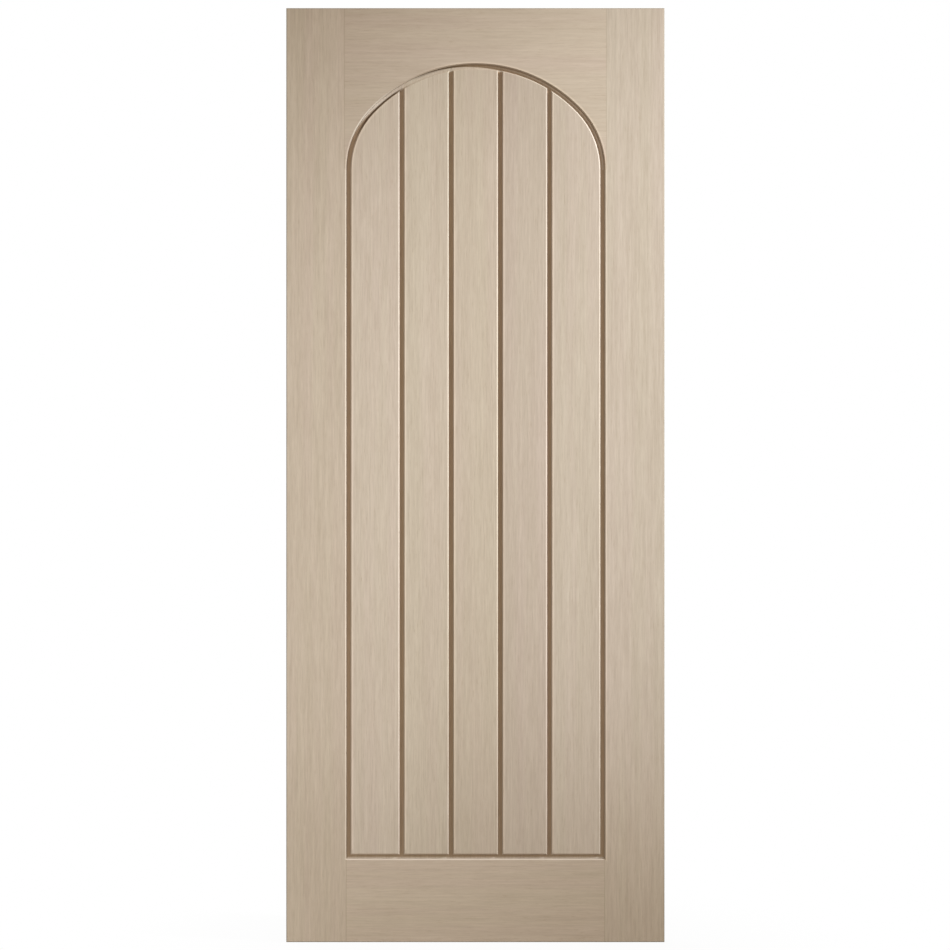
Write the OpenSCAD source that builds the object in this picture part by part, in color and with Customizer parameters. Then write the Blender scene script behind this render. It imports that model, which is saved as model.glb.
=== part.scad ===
// Framed oak door leaf with a flush boarded panel under a three-centred arch.
// The leaf stands on z = 0, centred on x = 0 and y = 0, with its front face towards -y.

/* [Leaf] */
// Width of the leaf
leaf_w = 826; // [770:1:926]
// Height of the leaf
leaf_h = 2040; // [1900:5:2200]
// Thickness of the leaf
leaf_t = 40; // [35:1:54]
// Chamfer that eases the outer edges
edge_ease = 1.5; // [0.5:0.5:4]

/* [Frame] */
// Width of a stile, from the outer edge to the wall of the opening
stile_w = 131; // [115:1:150]
// Depth of the bottom rail
bottom_rail_d = 182; // [150:1:230]
// Depth of the top rail above the crown of the arch
crown_d = 122.5; // [95:0.5:160]
// Width of the blunt toe of the top rail, let into the stile at the springing
toe_w = 4; // [3:0.5:6]

/* [Arch] */
// Rise of the arch from the springing line to the crown
arch_rise = 230; // [208:1:245]
// Radius of the tight arc at each shoulder
shoulder_r = 190; // [150:1:205]

/* [Grooves] */
// Width of a groove at the face, over its chamfered arrises
groove_w = 14; // [11:0.5:18]
// Depth of a groove below the face
groove_d = 6; // [4:0.5:9]
// Chamfer on each arris of a groove
arris = 2.5; // [1:0.25:3.5]

/* [Boards] */
// Pitch of the inner boards, joint to joint
board_pitch = 107.5; // [95:0.5:115]
// Thickness of every tongue
tongue_t = 10; // [6:0.5:12]
// Reach of the tongue between two boards
board_tongue_l = 8; // [5:0.5:10]
// Reach of the tongue round the panel into the frame
panel_tongue_l = 10; // [6:0.5:14]
// Room left beyond the end of a tongue
tongue_room = 2; // [1:0.5:4]
// Clearance beside a tongue and between two shoulders
fit_gap = 0.3; // [0.1:0.05:0.5]

/* [Dowels] */
// Diameter of a dowel
dowel_d = 16; // [10:1:18]
// Length of a dowel, shared equally by the rail and the stile
dowel_l = 130; // [90:5:140]
// Distance of the outermost dowel from the end of the leaf
dowel_edge = 30; // [20:1:40]
// Wood left between a dowel and the panel plough
dowel_cover = 10; // [6:1:16]
// Room left beyond each end of a dowel
dowel_room = 1.5; // [0.5:0.5:4]
// Glue gap round a dowel
glue_gap = 0.1; // [0.05:0.05:0.25]
// Chamfer on the ends of a dowel
dowel_chamfer = 1.5; // [0.5:0.5:3]

/* [Hidden] */
// Every cut runs this far past the face that it opens
overrun = 2;
// Dowels in each joint of the frame
dowel_count = 3;
// Boards across the panel
board_count = 5;
$fn = 180;
quarter_turn = 90;
full_turn = 360;

frame_colour = [0.78, 0.71, 0.63];
board_colour = [0.80, 0.73, 0.65];
dowel_colour = [0.84, 0.74, 0.58];

half_w = leaf_w / 2;
half_t = leaf_t / 2;
half_span = half_w - stile_w;
plough_d = panel_tongue_l + tongue_room;
lip_half_t = half_t - groove_d;
floor_w = groove_w - 2 * arris;

// Three-centred arch: the crown arc and both shoulder arcs share a tangent where they meet
springing_z = leaf_h - crown_d - arch_rise;
shoulder_x = half_span - shoulder_r;
crown_r = (pow(shoulder_x, 2) + pow(arch_rise, 2) - pow(shoulder_r, 2)) / (2 * (arch_rise - shoulder_r));
// Depth of the crown arc's centre below the springing line
crown_drop = crown_r - arch_rise;
meet_angle = atan2(crown_drop, shoulder_x);

top_rail_end_x = half_span + toe_w;
bottom_rail_end_x = half_span;

// An edge profile lists [distance outside the wall of the opening, distance from the mid-plane]
panel_edge = [
    [panel_tongue_l, tongue_t / 2],
    [-fit_gap, tongue_t / 2],
    [-fit_gap, lip_half_t],
    [-floor_w, lip_half_t],
    [-floor_w, half_t - arris],
    [-floor_w - arris, half_t],
];
opening_edge = [
    [plough_d, tongue_t / 2 + fit_gap],
    [0, tongue_t / 2 + fit_gap],
    [0, half_t - arris],
    [arris + overrun, half_t + overrun],
];

// Heights of the dowels: spread between the outermost one and the last that clears the plough
bottom_dowel_last_z = bottom_rail_d - plough_d - dowel_cover - dowel_d / 2;
hole_end_x = top_rail_end_x - dowel_l / 2 - dowel_room;
top_dowel_grow = plough_d + dowel_cover + dowel_d / 2;
top_dowel_rise = sqrt(pow(crown_r + top_dowel_grow, 2) - pow(hole_end_x, 2)) - crown_drop;
top_dowel_last_z = springing_z + top_dowel_rise;
function spread(first, last) =
    let (pitch = (last - first) / (dowel_count - 1))
    [for (i = [0:dowel_count - 1]) first + i * pitch];
bottom_dowel_zs = spread(dowel_edge, bottom_dowel_last_z);
top_dowel_zs = spread(leaf_h - dowel_edge, top_dowel_last_z);

function reversed(list) = [for (i = [len(list) - 1:-1:0]) list[i]];
function flipped_x(points) = [for (p = reversed(points)) [-p.x, p.y]];
function flipped_y(points) = [for (p = reversed(points)) [p.x, -p.y]];

// A whole edge, from one face of the leaf to the other
function rim(edge) = concat(flipped_y(edge), edge);
function face_y(edge) = edge[len(edge) - 1].y;

// Section of a slab of revolution, from its axis out to the rim
function disc_section(radius, edge) = concat(
    [[0, -face_y(edge)]],
    [for (p = rim(edge)) [radius + p.x, p.y]],
    [[0, face_y(edge)]]
);

// Turns a shape drawn in the xy plane upright: its y becomes z, and its z runs along -y
module upright() {
    rotate([90, 0, 0]) children();
}

// Extrudes a section drawn in [y, z] along x, over the width of the leaf
module along_x() {
    rotate([90, 0, 90]) linear_extrude(leaf_w, center = true) children();
}

// The parts of the arched slab are drawn with the springing line at z = 0

module disc_slab(centre_x, centre_z, radius, edge, sweep) {
    translate([centre_x, 0, centre_z])
        upright() rotate_extrude(angle = sweep) polygon(disc_section(radius, edge));
}

// Sector of the crown arc: from the springing line up, between the lines that leave the crown's centre
// through both shoulder centres
module crown_sector() {
    reach_x = shoulder_x + leaf_w * cos(meet_angle);
    reach_z = leaf_w * sin(meet_angle);
    right = [[shoulder_x, -overrun], [shoulder_x, 0], [reach_x, reach_z]];
    upright()
        linear_extrude(2 * leaf_t, center = true)
            polygon(concat(right, flipped_x(right)));
}

// Legs of the arch: the straight part of the slab below the springing line, with mitred lower corners
module leg_slab(edge) {
    drop = springing_z - bottom_rail_d;
    right = [for (p = rim(edge)) [half_span + p.x, p.y]];
    sill = [for (p = rim(edge)) [p.y, -drop - p.x]];
    top = [[face_y(edge), 0], [-face_y(edge), 0]];
    intersection() {
        linear_extrude(2 * leaf_h, center = true) polygon(concat(right, flipped_x(right)));
        along_x() polygon(concat(sill, top));
    }
}

// Arc at the right shoulder, with a whole disc just inside its rim that ties it to the crown and the legs
module shoulder_slab(edge) {
    difference() {
        disc_slab(shoulder_x, 0, shoulder_r, edge, quarter_turn);
        crown_sector();
    }
    disc_slab(shoulder_x, 0, shoulder_r - fit_gap, edge, full_turn);
}

// Slab with the outline of the opening, and one edge profile all the way round
module arched_slab(edge) {
    translate([0, 0, springing_z]) {
        leg_slab(edge);
        for (side = [0, 1])
            mirror([side, 0, 0]) shoulder_slab(edge);
        intersection() {
            disc_slab(0, -crown_drop, crown_r, edge, full_turn);
            crown_sector();
        }
    }
}

// Section of the leaf between two ends, with all four corners eased
function eased_section(low, high) =
    let (right = [
        [high - edge_ease, -half_t], [high, -half_t + edge_ease],
        [high, half_t - edge_ease], [high - edge_ease, half_t],
    ])
    concat(right, [for (p = flipped_x(right)) [low + high + p.x, p.y]]);

// The leaf's outer form
module leaf_envelope() {
    intersection() {
        linear_extrude(leaf_h) polygon(eased_section(-half_w, half_w));
        along_x() polygon([for (p = eased_section(0, leaf_h)) [p.y, p.x]]);
    }
}

module dowel_holes(x, heights) {
    for (z = heights)
        translate([x, 0, z])
            rotate([0, 90, 0])
                cylinder(h = dowel_l + 2 * dowel_room, d = dowel_d + 2 * glue_gap, center = true);
}

// A frame member: its outline on the face, ploughed, chamfered and bored
module frame_member(outline) {
    color(frame_colour)
        difference() {
            intersection() {
                leaf_envelope();
                upright() linear_extrude(leaf_t + 2 * overrun, center = true) polygon(outline);
            }
            arched_slab(opening_edge);
            for (side = [-1, 1]) {
                dowel_holes(side * top_rail_end_x, top_dowel_zs);
                dowel_holes(side * bottom_rail_end_x, bottom_dowel_zs);
            }
        }
}

module stile(side) {
    frame_member([
        [side * half_w, 0], [side * half_w, leaf_h],
        [side * top_rail_end_x, leaf_h], [side * top_rail_end_x, springing_z],
        [side * half_span, springing_z], [side * half_span, 0],
    ]);
}

module left_stile() {
    stile(-1);
}

module right_stile() {
    stile(1);
}

module top_rail() {
    frame_member([
        [-top_rail_end_x, springing_z], [top_rail_end_x, springing_z],
        [top_rail_end_x, leaf_h], [-top_rail_end_x, leaf_h],
    ]);
}

module bottom_rail() {
    frame_member([
        [-bottom_rail_end_x, 0], [bottom_rail_end_x, 0],
        [bottom_rail_end_x, bottom_rail_d], [-bottom_rail_end_x, bottom_rail_d],
    ]);
}

// Half section of a board's edge at a joint, as [distance into the board, distance from the mid-plane]
joint_face = [
    [groove_w / 2 + overrun, half_t + overrun],
    [groove_w / 2 - arris, half_t - arris],
    [groove_w / 2 - arris, lip_half_t],
    [fit_gap / 2, lip_half_t],
];
tongue_side = concat(joint_face, [[fit_gap / 2, tongue_t / 2], [-board_tongue_l, tongue_t / 2]]);
plough_side = concat(joint_face, [
    [fit_gap / 2, tongue_t / 2 + fit_gap],
    [board_tongue_l + tongue_room, tongue_t / 2 + fit_gap],
]);

function joint_x(i) = (i - board_count / 2) * board_pitch;

// The outer boards run on past the panel's edge, where the arched slab trims them
free_side = [[half_w, half_t + overrun]];
function board_left(i) = i == 0
    ? flipped_x(free_side)
    : [for (p = plough_side) [joint_x(i) + p.x, p.y]];
function board_right(i) = i == board_count - 1
    ? free_side
    : [for (p = tongue_side) [joint_x(i + 1) - p.x, p.y]];

module board(number) {
    i = number - 1;
    front = concat(reversed(board_left(i)), board_right(i));
    color(board_colour)
        intersection() {
            arched_slab(panel_edge);
            linear_extrude(leaf_h) polygon(concat(front, flipped_y(front)));
        }
}

module dowel() {
    end_r = dowel_d / 2 - dowel_chamfer;
    half_l = dowel_l / 2;
    rotate([0, 90, 0])
        rotate_extrude()
            polygon([
                [0, -half_l], [end_r, -half_l], [dowel_d / 2, -half_l + dowel_chamfer],
                [dowel_d / 2, half_l - dowel_chamfer], [end_r, half_l], [0, half_l],
            ]);
}

module dowels(x, heights) {
    color(dowel_colour)
        for (z = heights)
            translate([x, 0, z]) dowel();
}

left_stile();
right_stile();
top_rail();
bottom_rail();
board(1);  // board_1
board(2);  // board_2
board(3);  // board_3
board(4);  // board_4
board(5);  // board_5
dowels(-top_rail_end_x, top_dowel_zs);  // top_left_dowels
dowels(top_rail_end_x, top_dowel_zs);  // top_right_dowels
dowels(-bottom_rail_end_x, bottom_dowel_zs);  // bottom_left_dowels
dowels(bottom_rail_end_x, bottom_dowel_zs);  // bottom_right_dowels
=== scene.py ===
import math
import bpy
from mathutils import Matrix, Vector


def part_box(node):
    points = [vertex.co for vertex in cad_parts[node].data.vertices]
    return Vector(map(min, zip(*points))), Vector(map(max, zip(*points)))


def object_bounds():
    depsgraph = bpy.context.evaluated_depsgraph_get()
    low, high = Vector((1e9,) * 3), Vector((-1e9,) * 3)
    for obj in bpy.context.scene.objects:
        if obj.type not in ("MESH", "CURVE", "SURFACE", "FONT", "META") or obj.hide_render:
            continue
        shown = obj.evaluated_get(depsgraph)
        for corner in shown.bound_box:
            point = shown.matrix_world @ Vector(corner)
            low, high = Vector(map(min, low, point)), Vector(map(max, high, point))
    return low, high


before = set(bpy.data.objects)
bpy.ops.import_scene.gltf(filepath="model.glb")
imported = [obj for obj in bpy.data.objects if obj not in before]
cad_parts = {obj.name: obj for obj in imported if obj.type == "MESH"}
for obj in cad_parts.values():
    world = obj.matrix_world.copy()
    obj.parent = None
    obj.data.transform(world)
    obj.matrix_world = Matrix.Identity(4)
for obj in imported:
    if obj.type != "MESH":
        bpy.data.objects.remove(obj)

from types import SimpleNamespace

import bpy
from mathutils import Vector

cadLow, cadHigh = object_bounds()
leafWide, leafThick, leafTall = cadHigh - cadLow
halfWide = leafWide / 2
halfThick = leafThick / 2
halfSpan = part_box("right_stile")[0].x  # middle to the wall of the opening
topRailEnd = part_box("top_rail")[1].x
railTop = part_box("bottom_rail")[1].z
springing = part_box("top_rail")[0].z  # where the arch begins
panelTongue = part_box("board_5")[1].x - halfSpan
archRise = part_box("board_3")[1].z - panelTongue - springing
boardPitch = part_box("board_4")[0].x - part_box("board_3")[0].x
print("frame loaded:", len(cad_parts), "nodes,", round(leafTall, 3), "m tall")


# Shader sockets as plain values: sums and products of them add Math nodes
class Wire:
    def __init__(self, tree, socket=None):
        self.tree = tree
        self.socket = socket

    # any node: its settings first, then the values or links of its sockets
    def node(self, kind, settings=None, sockets=None, out=0):
        made = self.tree.nodes.new(kind)
        for key, value in (settings or {}).items():
            setattr(made, key, value)
        for key, value in (sockets or {}).items():
            if isinstance(value, Wire):
                self.tree.links.new(value.socket, made.inputs[key])
            else:
                made.inputs[key].default_value = value
        return Wire(self.tree, made.outputs[out] if made.outputs else None)

    def maths(self, operation, first, second=0.0):
        return self.node("ShaderNodeMath", {"operation": operation}, {0: first, 1: second})

    def __add__(self, other):
        return self.maths("ADD", self, other)

    def __radd__(self, other):
        return self.maths("ADD", other, self)

    def __sub__(self, other):
        return self.maths("SUBTRACT", self, other)

    def __rsub__(self, other):
        return self.maths("SUBTRACT", other, self)

    def __mul__(self, other):
        return self.maths("MULTIPLY", self, other)

    def __rmul__(self, other):
        return self.maths("MULTIPLY", other, self)

    def __truediv__(self, other):
        return self.maths("DIVIDE", self, other)

    def __rtruediv__(self, other):
        return self.maths("DIVIDE", other, self)

    def __neg__(self):
        return self.maths("SUBTRACT", 0.0, self)

    def __abs__(self):
        return self.maths("ABSOLUTE", self)

    def least(self, other):
        return self.maths("MINIMUM", self, other)

    def most(self, other):
        return self.maths("MAXIMUM", self, other)

    # 1 above zero, else 0
    def above(self):
        return self.maths("GREATER_THAN", self, 0.0)

    # 0 below low, 1 above high, smooth between
    def rise(self, low, high):
        return self.node("ShaderNodeMapRange", {"interpolation_type": "SMOOTHSTEP"},
                         {"Value": self, "From Min": low, "From Max": high})

    def fall(self, low, high):
        return 1 - self.rise(low, high)

    # up over the first pair, down again over the second
    def within(self, rising, falling):
        return self.rise(*rising) * self.fall(*falling)

    # a noise of 0 to 1 as a swing to both sides of zero
    def swing(self, share):
        return (self - 0.5) * share

    # colours: two of them mixed, and one multiplied by another as far as the amount says
    def blend(self, amount, first, second):
        return self.node("ShaderNodeMix", {"data_type": "RGBA"}, {0: amount, 6: first, 7: second}, out=2)

    def tinted(self, colour, amount=1.0):
        return self.node("ShaderNodeMix", {"data_type": "RGBA", "blend_type": "MULTIPLY"},
                         {0: amount, 6: self, 7: colour}, out=2)


# sRGB levels of 0 to 255 to a scene colour
def level(red, green, blue):
    def linear(value):
        share = value / 255
        return share / 12.92 if share <= 0.04045 else ((share + 0.055) / 1.055) ** 2.4
    return (linear(red), linear(green), linear(blue), 1.0)


def newMaterial(name):
    material = bpy.data.materials.new(name)
    material.use_nodes = True
    material.node_tree.nodes.clear()
    return material, Wire(material.node_tree)


# Floor and light

plainWhite = {"Color": (1.0, 1.0, 1.0, 1.0), "Strength": 1.0}


# rays that meet the plain white backdrop: straight from the camera, or off or through the piece
def meetsBackdrop(start):
    meets = start.node("ShaderNodeLightPath", out="Is Camera Ray")
    for ray in ("Is Glossy Ray", "Is Transmission Ray"):
        meets = meets.most(start.node("ShaderNodeLightPath", out=ray))
    return meets


floorLook = {
    "reach": 30.0,
    "colour": level(205, 203, 200),
    "glow": 0.955,  # share of plain white at the leaf's foot, where the rest takes the shadow
    "fade": (0.25, 0.9),  # over this distance from the foot the share grows to 1
}


def makeFloor():
    bpy.ops.mesh.primitive_plane_add(size=2 * floorLook["reach"])
    floor = bpy.context.object
    floor.name = "floor"
    material, start = newMaterial("paleFloor")
    lit = start.node("ShaderNodeBsdfDiffuse", sockets={"Color": floorLook["colour"]})
    white = start.node("ShaderNodeEmission", sockets=plainWhite)
    place = start.node("ShaderNodeTexCoord", out="Object")
    away = start.node("ShaderNodeVectorMath", {"operation": "LENGTH"}, {0: place}, out="Value")
    glow = floorLook["glow"] + away.rise(*floorLook["fade"]) * (1 - floorLook["glow"])
    shown = start.node("ShaderNodeMixShader", sockets={0: meetsBackdrop(start) * glow, 1: lit, 2: white})
    start.node("ShaderNodeOutputMaterial", sockets={"Surface": shown})
    floor.data.materials.append(material)


skyLook = {
    "Color": (1.10, 1.00, 0.88, 1.0),  # a little warm, as a room is
    "Strength": 0.488,
}


def makeSky():
    world = bpy.data.worlds.new("studio")
    bpy.context.scene.world = world
    world.use_nodes = True
    world.node_tree.nodes.clear()
    start = Wire(world.node_tree)
    lit = start.node("ShaderNodeBackground", sockets=skyLook)
    white = start.node("ShaderNodeBackground", sockets=plainWhite)
    sky = start.node("ShaderNodeMixShader", sockets={0: meetsBackdrop(start), 1: lit, 2: white})
    start.node("ShaderNodeOutputWorld", sockets={"Surface": sky})


# A spot that rakes across the face from the upper right
keyLook = {
    "colour": (0.92, 1.00, 1.09),
    "power": 7220.0,
    "away": 7.5,
    "turn": 28.5,  # degrees above level, across the face
    "tilt": 20.0,  # degrees out from the face
    "aim": (1.61, -0.02, 1.90),  # beside the leaf, so that the light fades across it
    "cone": 18.4,  # degrees
    "coneSoft": 1.0,
    "radius": 0.12,
}
keyTurn = math.radians(keyLook["turn"])
keyTilt = math.radians(keyLook["tilt"])

backLook = {
    "colour": (0.92, 1.00, 1.09),
    "power": 150.0,
    "from": (-2.6, 3.6, 3.0),
    "wide": 2.5,
}


def addLamp(name, lamp, place, aim):
    holder = bpy.data.objects.new(name, lamp)
    holder.location = place
    holder.rotation_euler = (aim - place).to_track_quat("-Z", "Y").to_euler()
    bpy.context.scene.collection.objects.link(holder)


def makeLamps():
    key = bpy.data.lights.new("key", "SPOT")
    key.energy = keyLook["power"]
    key.color = keyLook["colour"]
    key.spot_size = math.radians(keyLook["cone"])
    key.spot_blend = keyLook["coneSoft"]
    key.shadow_soft_size = keyLook["radius"]
    aim = Vector(keyLook["aim"])
    alongFace = math.cos(keyTilt)
    towards = Vector((math.cos(keyTurn) * alongFace, -math.sin(keyTilt), math.sin(keyTurn) * alongFace))
    addLamp("key", key, aim + towards * keyLook["away"], aim)

    back = bpy.data.lights.new("back", "AREA")
    back.energy = backLook["power"]
    back.color = backLook["colour"]
    back.size = backLook["wide"]
    addLamp("back", back, Vector(backLook["from"]), (cadLow + cadHigh) / 2)


makeFloor()
makeSky()
makeLamps()
bpy.context.scene.view_settings.view_transform = "Standard"
print("floor and light set")


# Grooves round the panel and between the boards

grooveLook = {
    "shoulderRadius": 0.19,
    "floorWide": 0.009,
    "chamferWide": 0.0025,
    "soft": 0.0005,  # width over which one tint or painted shade passes into another
    "skin": (0.0001, 0.0003),  # depths that part the face from a chamfer
}
chamferWide = grooveLook["chamferWide"]
rimWide = chamferWide + grooveLook["floorWide"]  # from the opening's wall to the boards' arris
soft = grooveLook["soft"]


# How far a place lies inside the opening's wall, and how the light crosses the groove along that wall:
# 1 straight from the frame's side, 0 along the groove, -1 straight from the boards' side
def acrossOpening(x, z):
    radius = grooveLook["shoulderRadius"]
    shoulderX = halfSpan - radius
    crownRadius = (shoulderX ** 2 + archRise ** 2 - radius ** 2) / (2 * (archRise - radius))
    crownDrop = crownRadius - archRise
    up = z - springing
    onShoulder = (abs(x) * crownDrop - (up + crownDrop) * shoulderX).above()
    fromX = abs(x) - onShoulder * shoulderX
    fromZ = onShoulder * up.most(0.0) + (1 - onShoulder) * (up + crownDrop)
    away = x.maths("SQRT", fromX * fromX + fromZ * fromZ)
    inside = crownRadius + onShoulder * (radius - crownRadius) - away
    light = (fromX * x.maths("SIGN", x) * math.cos(keyTurn) + fromZ * math.sin(keyTurn)) / away
    sill = z - railTop
    onSill = (inside - sill).above()
    return inside.least(sill), light * (1 - onSill) - onSill * math.sin(keyTurn)


# All that the painted shade, painted highlights and edge tints below ask of a place on the leaf
def measure(x, y, z):
    inside, light = acrossOpening(x, z)
    depth = halfThick - abs(y)
    front = y.fall(-soft, soft)
    onRim = inside.fall(rimWide, rimWide + soft) * front
    return SimpleNamespace(
        x=x, z=z, inside=inside, light=light, depth=depth, front=front, onRim=onRim,
        onArch=onRim * (z - springing).above(),
        below=depth.rise(*grooveLook["skin"]),
        toEdge=(halfWide - abs(x)).least(z.least(leafTall - z)))


# Painted shade and painted highlight in the grooves, set by where the key's shadow falls in them
paintedShadeLook = {
    # painted shade on the groove floors
    "floor": (0.77, 0.68, 0.58, 1.0),
    "floorDepth": (0.0025, 0.0045),
    "litStrip": ((0.001, 0.0025), (0.004, 0.0055)),  # a strip along the arch floor, inside the wall, where the key's light falls and the painted shade is left off
    "litStripRange": (0.45, 0.75),
    # painted shade that tones down the light on the chamfers
    "chamfer": (0.82, 0.81, 0.80, 1.0),
    "chamferLight": (0.25, 0.8),
    "paintedLip": (1.20, 1.25, 1.32, 1.0),  # painted highlight on the lit floor and chamfer on the frame's side of the groove
    "lipLightRange": ((0.05, 0.3), (0.5, 0.8)),
    "clearOfEdge": (0.02, 0.03),  # the leaf's outer edges have none
}


def paintedGrooveShade(wood, spot):
    clear = spot.toEdge.rise(*paintedShadeLook["clearOfEdge"])

    # the shadow of either arris, as far as it reaches at this depth
    reach = spot.depth * spot.light * (1 / math.tan(keyTilt))
    shadow = (reach - chamferWide - spot.inside).most(spot.inside - rimWide - reach).rise(-soft, soft)
    lit = spot.onRim * (1 - shadow)
    litStrip = spot.inside.within(*paintedShadeLook["litStrip"]) * spot.light.rise(*paintedShadeLook["litStripRange"]) * spot.onArch
    onFloor = spot.depth.rise(*paintedShadeLook["floorDepth"]) * clear
    # painted shade: floors darkened where the key's shadow falls; on the back and between the boards all
    # over
    wood = wood.tinted(paintedShadeLook["floor"], onFloor * (1 - lit) * (1 - litStrip))

    # painted shade on the chamfers: round the panel as far as the light crosses the groove, elsewhere all
    # over
    across = abs(spot.light).rise(*paintedShadeLook["chamferLight"])
    onChamfer = spot.below * spot.depth.fall(chamferWide, chamferWide + soft) * clear
    wood = wood.tinted(paintedShadeLook["chamfer"], onChamfer * (1 - spot.onRim * (1 - across)))
    # painted highlight where the key lights the frame's side of the groove
    return wood.tinted(paintedShadeLook["paintedLip"], lit * spot.below * (-spot.light).within(*paintedShadeLook["lipLightRange"]))


# Painted shade: where the light runs nearly along the arch, the corner that faces away from it is painted
# dark
paintedCornerLook = {
    "colour": (0.26, 0.20, 0.14, 1.0),
    "depth": (0.0004, 0.0012),
    "boards": (0.0055, 0.007),  # inside the wall
    "boardsLight": ((0.03, 0.12), (0.4, 0.75)),
    "frame": (0.003, 0.0045),
    "frameLight": ((0.03, 0.12), (0.33, 0.46)),
    "frameShare": 0.41,
}


def paintedCornerShade(wood, spot):
    boards = spot.inside.rise(*paintedCornerLook["boards"]) * (-spot.light).within(*paintedCornerLook["boardsLight"])
    frameWall = spot.inside.fall(*paintedCornerLook["frame"]) * spot.inside.above()
    frameWall = frameWall * spot.light.within(*paintedCornerLook["frameLight"]) * paintedCornerLook["frameShare"]
    amount = (boards + frameWall) * spot.onArch * spot.depth.rise(*paintedCornerLook["depth"])
    # painted shade in the groove corners on the arch
    return wood.tinted(paintedCornerLook["colour"], amount)


# Painted highlight: a pale strip on the face beside the arrises that face the light, set by the key's
# direction
highlightPaintLook = {
    "colour": (1.25, 1.25, 1.25, 1.0),
    "wide": 0.0055,
    "light": (0.0, 0.35),
}


def paintedEdgeHighlight(wood, spot):
    wide = highlightPaintLook["wide"]

    def beside(gap):
        return gap.fall(0.0, wide) * gap.above()

    frameSide = beside(-spot.inside - chamferWide) * spot.light.rise(*highlightPaintLook["light"])
    boardSide = beside(spot.inside - rimWide) * (-spot.light).rise(*highlightPaintLook["light"])
    fromJoint = (spot.x.maths("FRACT", spot.x / boardPitch) - 0.5) * boardPitch
    jointSide = beside(fromJoint - (rimWide + chamferWide) / 2) * spot.inside.rise(rimWide, rimWide + soft)
    jointSide = jointSide * (2 * boardPitch - abs(spot.x)).above()  # the outermost joints lie within
    aboveSill = (spot.z - railTop).rise(rimWide + wide, rimWide + 2 * wide)
    amount = frameSide.most(boardSide.most(jointSide) * aboveSill)
    # painted highlight on the face beside those arrises, on the front only
    return wood.tinted(highlightPaintLook["colour"], amount * (1 - spot.below) * spot.front)


# Edges of the leaf and of its pieces
edgeLook = {
    "arris": (0.60, 0.58, 0.52, 1.0),  # along the leaf's outer arrises
    "arrisWide": (0.0008, 0.0024),
    "side": (0.66, 0.645, 0.62, 1.0),  # on the leaf's narrow sides
    "sideWide": (0.0002, 0.0012),
    "joint": (0.86, 0.84, 0.80, 1.0),  # glue line between stile and rail
    "jointWide": (0.0003, 0.0012),
}


def edged(wood, spot):
    atArris = spot.toEdge.fall(*edgeLook["arrisWide"]) * spot.depth.fall(*edgeLook["arrisWide"])
    wood = wood.tinted(edgeLook["arris"], atArris)
    onSide = spot.toEdge.fall(*edgeLook["sideWide"]) * spot.depth.rise(*edgeLook["sideWide"])
    wood = wood.tinted(edgeLook["side"], onSide)
    jointX = halfSpan + (spot.z - springing).above() * (topRailEnd - halfSpan)
    atJoint = abs(abs(spot.x) - jointX).fall(*edgeLook["jointWide"])
    return wood.tinted(edgeLook["joint"], atJoint * spot.depth.fall(*edgeLook["jointWide"]))


# Oak

oakLook = {
    "pale": level(216, 200, 181),  # early wood
    "deep": level(195, 178, 158),  # late wood
    "pinkish": (1.005, 0.995, 1.003, 1.0),
    "yellowish": (0.995, 1.004, 0.988, 1.0),
    "hueBand": (0.35, 0.65),  # of the drift, from pinkish to yellowish
    "pore": (0.86, 0.82, 0.76, 1.0),
    "poreBand": (0.60, 0.72),
    "endGrain": (0.80, 0.74, 0.67, 1.0),
    "endBand": (0.6, 0.9),
    "footTall": (0.1, 0.55),
    "roughness": 0.5,
    "roughnessSwing": 0.15,
    "specular": 0.3,
    "grainDepth": 0.0003,
    "bump": 0.15,
    "ringBump": 0.6,
}

# waves a metre across and along the grain
oakNoise = {
    "cloud": (10, 0.8),
    "streak": (60, 3),
    "fleck": (230, 11),
    "fibre": (650, 32),
    "pores": (1500, 45),
    "drift": (24, 0.8),
    "wander": (7, 0.6),
    "detail": 2.0,
    "apart": (7.3, 3.1, 5.7),  # waves between the pieces, for each step of the seed
}

ringLook = {
    "slant": 0.35,  # how far the rings lean from the face's normal
    "wander": 0.03,
    "spacing": 0.005,
    "detail": 3.0,
    "apart": 11.9,
}

# what each takes in the change from deep to pale
shadeShare = {"cloud": 0.5, "streak": 0.55, "ring": 0.35, "fleck": 0.8, "fibre": 0.7}

# grain: the way it runs; figure: strength of the fine grain; tone: beside the other pieces, and at the foot
pieceLook = {
    "left_stile": {
        "grain": "Z", "seed": 1, "figure": 1.55,
        "tone": (1.025, 1.015, 1.0), "foot": (0.91, 0.90, 0.885)},
    "right_stile": {
        "grain": "Z", "seed": 2, "figure": 1.5,
        "tone": (0.97, 0.97, 0.97), "foot": (0.985, 0.98, 0.95)},
    "top_rail": {
        "grain": "X", "seed": 3, "figure": 1.0,
        "tone": (0.985, 0.965, 0.95)},
    "bottom_rail": {
        "grain": "X", "seed": 4, "figure": 1.1,
        "tone": (0.945, 0.925, 0.895)},
    "board_1": {
        "grain": "Z", "seed": 5, "figure": 1.35,
        "tone": (1.06, 1.06, 1.07), "foot": (0.945, 0.945, 0.945)},
    "board_2": {
        "grain": "Z", "seed": 6, "figure": 1.35,
        "tone": (1.035, 1.04, 1.03), "foot": (0.95, 0.95, 0.95)},
    "board_3": {
        "grain": "Z", "seed": 7, "figure": 1.35,
        "tone": (0.99, 0.985, 0.965), "foot": (0.94, 0.94, 0.94)},
    "board_4": {
        "grain": "Z", "seed": 8, "figure": 1.35,
        "tone": (0.94, 0.925, 0.93), "foot": (0.965, 0.965, 0.965)},
    "board_5": {
        "grain": "Z", "seed": 14, "figure": 1.35,
        "tone": (0.975, 0.975, 0.975), "foot": (0.98, 0.98, 0.98)},
}


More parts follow.
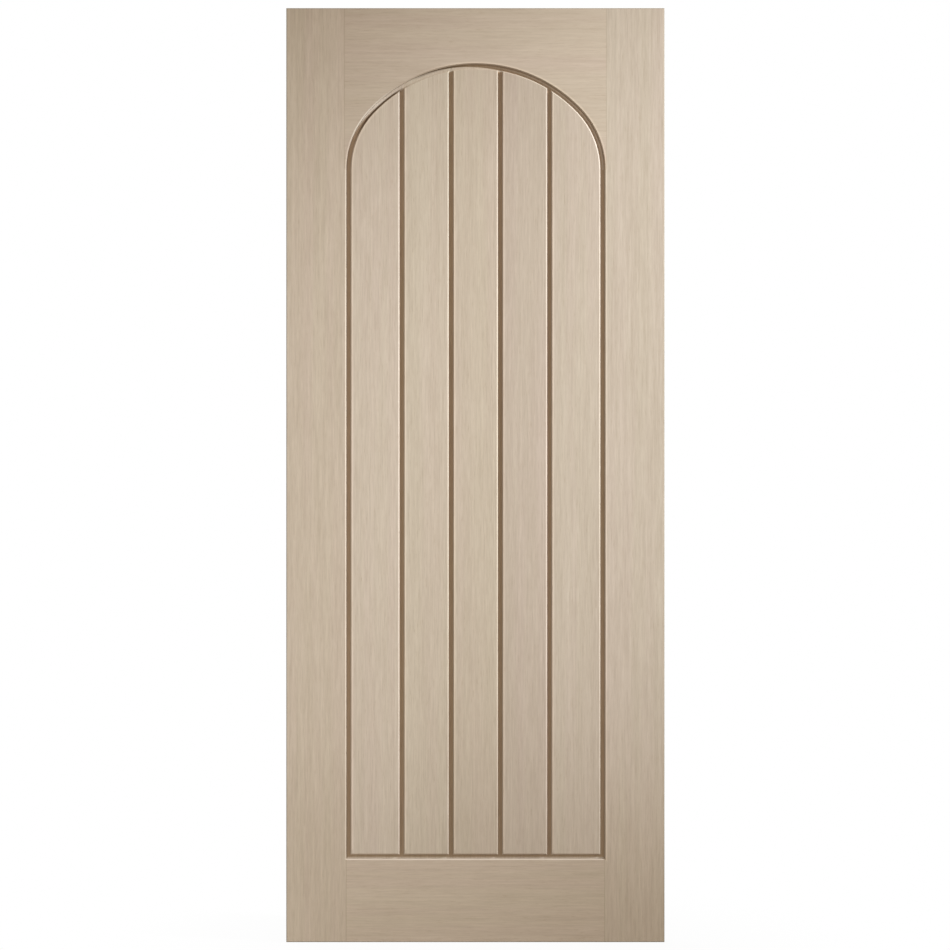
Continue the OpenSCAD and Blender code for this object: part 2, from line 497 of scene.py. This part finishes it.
def oak(name, look):
    material, start = newMaterial(name)
    place = start.node("ShaderNodeTexCoord", out="Object")
    x, y, z = (start.node("ShaderNodeSeparateXYZ", sockets={0: place}, out=axis) for axis in "XYZ")
    wide, run = (z, x) if look["grain"] == "X" else (x, z)  # across and along the grain, on the face
    shiftWide, shiftDeep, shiftRun = (look["seed"] * step for step in oakNoise["apart"])

    # each piece comes from another part of the tree
    def noise(kind):
        across, along = oakNoise[kind]
        spread = start.node("ShaderNodeCombineXYZ", sockets={
            0: wide * across + shiftWide, 1: y * across + shiftDeep, 2: run * along + shiftRun})
        return start.node("ShaderNodeTexNoise", sockets={
            "Vector": spread, "Scale": 1.0, "Detail": oakNoise["detail"]})

    # growth rings, cut nearly upright
    ring = wide + y * ringLook["slant"] + noise("wander").swing(ringLook["wander"])
    line = start.node("ShaderNodeTexNoise", {"noise_dimensions": "1D"}, {
        "W": ring / ringLook["spacing"] + look["seed"] * ringLook["apart"],
        "Scale": 1.0, "Detail": ringLook["detail"]})

    fibre = noise("fibre")
    fine = noise("fleck").swing(shadeShare["fleck"]) + fibre.swing(shadeShare["fibre"])
    broad = noise("cloud").swing(shadeShare["cloud"]) + noise("streak").swing(shadeShare["streak"])
    shade = 0.5 + broad + line.swing(shadeShare["ring"]) + fine * look["figure"]
    wood = start.blend(shade, oakLook["deep"], oakLook["pale"])
    hue = noise("drift").rise(*oakLook["hueBand"])
    wood = wood.tinted(start.blend(hue, oakLook["pinkish"], oakLook["yellowish"]))
    wood = wood.tinted(oakLook["pore"], noise("pores").rise(*oakLook["poreBand"]))
    wood = wood.tinted((*look["tone"], 1.0))
    if "foot" in look:
        wood = wood.tinted((*look["foot"], 1.0), z.fall(*oakLook["footTall"]))

    spot = measure(x, y, z)
    # the grooves get painted shade, painted dark corners and painted highlights; then the edges their tints
    wood = edged(paintedEdgeHighlight(paintedCornerShade(paintedGrooveShade(wood, spot), spot), spot), spot)
    normal = start.node("ShaderNodeNewGeometry", out="True Normal")
    endOn = abs(start.node("ShaderNodeSeparateXYZ", sockets={0: normal}, out=look["grain"]))
    wood = wood.tinted(oakLook["endGrain"], endOn.rise(*oakLook["endBand"]))

    bump = start.node("ShaderNodeBump", sockets={
        "Strength": oakLook["bump"], "Distance": oakLook["grainDepth"],
        "Height": fibre + line * oakLook["ringBump"]})
    shader = start.node("ShaderNodeBsdfPrincipled", sockets={
        "Base Color": wood, "Normal": bump, "Specular IOR Level": oakLook["specular"],
        "Roughness": oakLook["roughness"] + line.swing(oakLook["roughnessSwing"])})
    start.node("ShaderNodeOutputMaterial", sockets={"Surface": shader})
    return material


def dress(name, material):
    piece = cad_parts[name]
    piece.data.materials.clear()
    piece.data.materials.append(material)


for name, look in pieceLook.items():
    dress(name, oak(name + "Oak", look))
print("oak on", len(pieceLook), "pieces")


# Beech of the dowels, hidden in the joints

beechLook = {
    "pale": level(236, 214, 184),
    "deep": level(224, 196, 160),
    "fleck": (420, 60),  # waves a metre across and along the dowel
    "fleckBand": (0.35, 0.65),
    "detail": 3.0,
    "roughness": 0.6,
}


def beech():
    material, start = newMaterial("dowelBeech")
    place = start.node("ShaderNodeTexCoord", out="Object")
    across, along = beechLook["fleck"]
    spread = start.node("ShaderNodeMapping", sockets={"Vector": place, "Scale": (along, across, across)})
    fleck = start.node("ShaderNodeTexNoise", sockets={
        "Vector": spread, "Scale": 1.0, "Detail": beechLook["detail"]})
    shade = fleck.rise(*beechLook["fleckBand"])
    shader = start.node("ShaderNodeBsdfPrincipled", sockets={
        "Base Color": start.blend(shade, beechLook["deep"], beechLook["pale"]),
        "Roughness": beechLook["roughness"]})
    start.node("ShaderNodeOutputMaterial", sockets={"Surface": shader})
    return material


dowelBeech = beech()
for corner in ("top_left", "top_right", "bottom_left", "bottom_right"):
    dress(corner + "_dowels", dowelBeech)
print("beech on the dowels")


# Camera, square to the face

cameraLook = {
    "lens": 100.0,
    "sensor": 36.0,
    "frameTall": 2.0747,  # height of the view at the front of the leaf
    "eye": (-0.0009, 1.0203),  # across and up
}


def makeCamera():
    data = bpy.data.cameras.new("camera")
    data.lens = cameraLook["lens"]
    data.sensor_width = cameraLook["sensor"]
    camera = bpy.data.objects.new("camera", data)
    away = cameraLook["frameTall"] * cameraLook["lens"] / cameraLook["sensor"]
    eyeX, eyeZ = cameraLook["eye"]
    camera.location = (eyeX, -halfThick - away, eyeZ)
    camera.rotation_euler = (math.radians(90), 0, 0)
    bpy.context.scene.collection.objects.link(camera)
    bpy.context.scene.camera = camera


makeCamera()
print("camera set")
